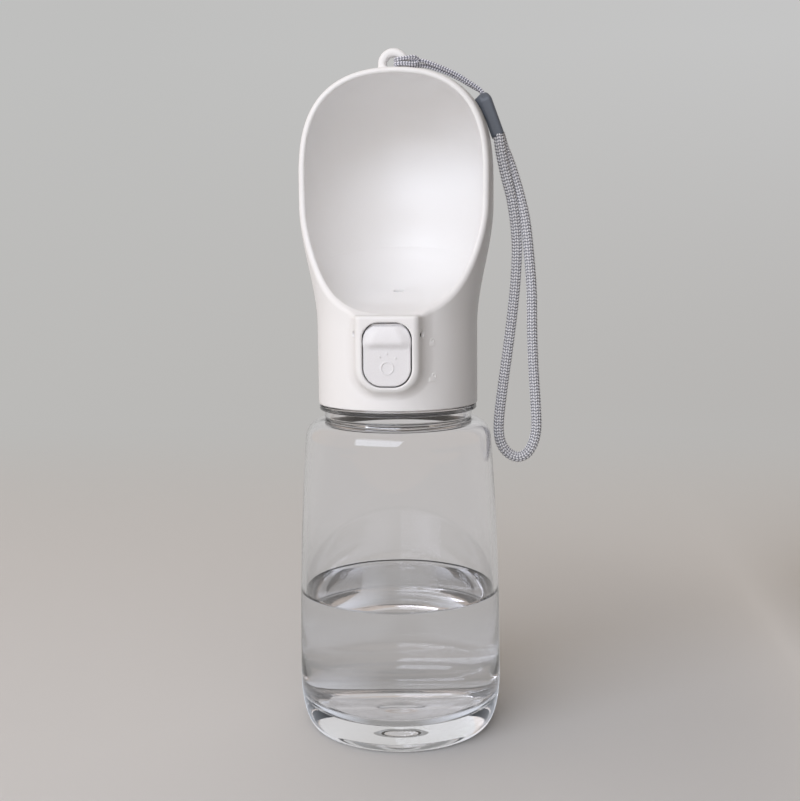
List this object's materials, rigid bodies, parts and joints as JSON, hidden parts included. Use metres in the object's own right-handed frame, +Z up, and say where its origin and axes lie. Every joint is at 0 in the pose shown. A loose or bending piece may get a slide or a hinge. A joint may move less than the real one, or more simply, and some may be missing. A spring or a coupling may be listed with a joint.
{
  "type": "dog travel water bottle",
  "caption": "Clear screw bottle with a white scoop-shaped drinking head, a lockable thumb button that opens its water valve, and a wrist strap.",
  "frame": {"origin": "centre of the foot ring, on the surface that the bottle stands on", "axes": "+Z up along the bottle's axis, the button faces -Y, the wrist strap hangs on the +X side"},
  "size_m": [0.0885, 0.0736, 0.2423],
  "materials": {
    "clear_bottle": "clear polished copolyester",
    "white_shell": "satin white",
    "white_button": "satin white",
    "natural_plastic": "moulded",
    "silicone": "matte translucent",
    "black_rubber": "matte",
    "steel": "bright stainless",
    "grey_cord": "woven thin cord",
    "grey_braid": "tubular braid",
    "clamp_plastic": "dark satin"
  },
  "bodies": {
    "bottle_body": {"bottle": "clear_bottle"},
    "seal_body": {"neck_gasket": "silicone"},
    "head_body": {"head_shell": "white_shell", "inner_cap": "natural_plastic", "lid_gasket": "silicone", "chamber_lid": "natural_plastic", "lid_screws": "steel", "stem_oring": "black_rubber", "outlet_seal": "silicone", "pivot_pin": "steel", "valve_spring": "steel", "eye_cord": "grey_cord", "strap_clamp": "clamp_plastic", "wrist_loop": "grey_braid"},
    "lever_body": {"rocker": "natural_plastic", "detent_clip": "steel"},
    "button_body": {"button": "white_button"},
    "valve_body": {"valve_stem": "natural_plastic", "valve_plug": "silicone", "lift_collar": "natural_plastic", "stem_clip": "steel"}
  },
  "joints": [
    {"name": "head_lift", "type": "slide", "parent": "bottle_body", "child": "seal_body", "axis": [0, 0, 1], "range_m": [0, 0.00405]},
    {"name": "head_turn", "type": "hinge", "parent": "seal_body", "child": "head_body", "pos_m": [0, 0, 0], "axis": [0, 0, 1], "range_deg": [0, 450]},
    {"name": "button_press", "type": "hinge", "parent": "head_body", "child": "lever_body", "pos_m": [0, -0.0282, 0.1448], "axis": [1, 0, 0], "range_deg": [0, 7], "stiffness_Nm_per_rad": 0.3, "springref_deg": -5.73},
    {"name": "lock_slide", "type": "slide", "parent": "lever_body", "child": "button_body", "axis": [0, 0, 1], "range_m": [0, 0.0012]},
    {"name": "valve_lift", "type": "slide", "parent": "head_body", "child": "valve_body", "axis": [0, 0, 1], "range_m": [0, 0.003], "deforming": ["valve_spring"]}
  ],
  "couplings": [
    {"joint": "head_lift", "follows": "head_turn", "m_per_rad": 0.0005093},
    {"joint": "valve_lift", "follows": "button_press", "m_per_rad": 0.0242}
  ]
}
